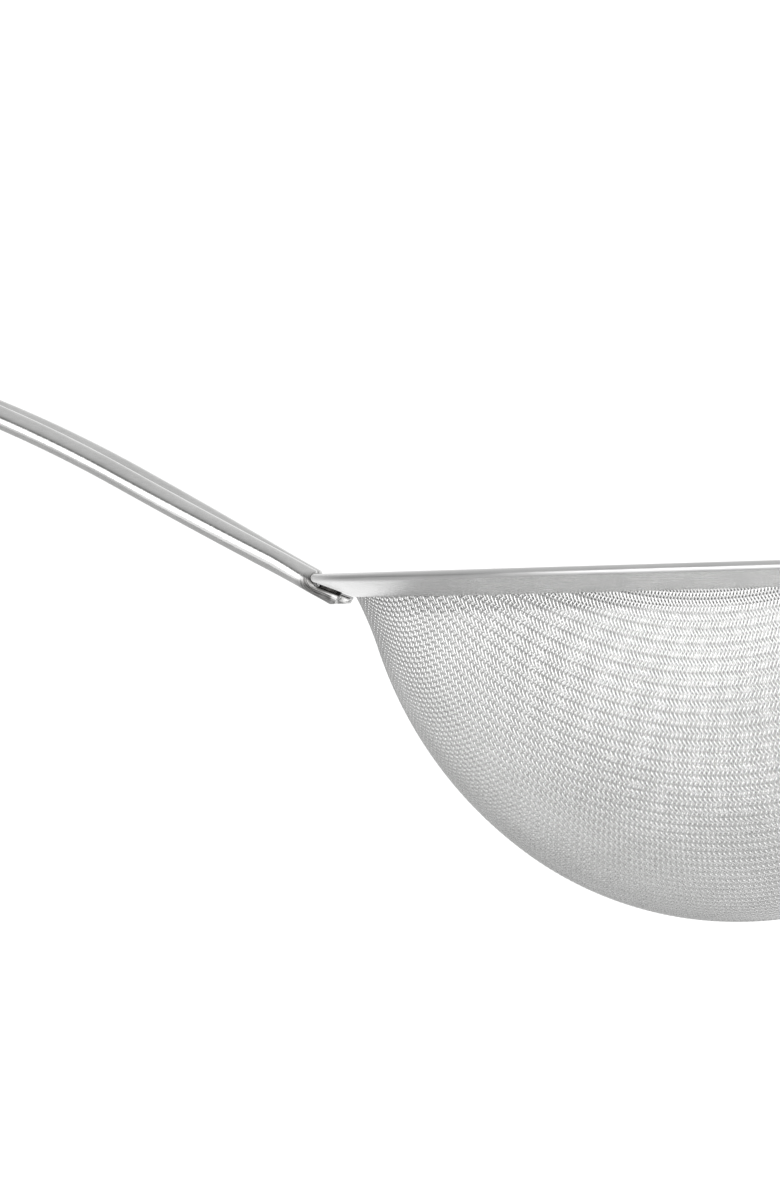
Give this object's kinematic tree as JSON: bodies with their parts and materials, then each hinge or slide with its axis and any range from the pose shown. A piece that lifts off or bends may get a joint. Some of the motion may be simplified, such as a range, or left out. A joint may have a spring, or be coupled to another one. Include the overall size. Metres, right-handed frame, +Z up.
{
  "type": "tea strainer",
  "caption": "Long-handled tea strainer: a round bowl of woven steel wire in a folded conical rim, with a hairpin wire handle.",
  "frame": {"origin": "centre of the rim's lower edge, where the bowl leaves the rim", "axes": "+Z up out of the bowl's mouth, the handle runs along -X, Y across the handle"},
  "size_m": [0.201, 0.09, 0.0729],
  "materials": {
    "rim_steel": "brushed",
    "ring_steel": "satin",
    "cloth_steel": "bright drawn wire",
    "wire_steel": "polished",
    "weld_steel": "weld scale"
  },
  "bodies": {
    "root": {"rim_flange": "rim_steel", "clamp_ring": "ring_steel", "mesh_bowl": "cloth_steel", "handle_wire": "wire_steel", "weld_near": "weld_steel", "weld_far": "weld_steel"}
  },
  "joints": []
}
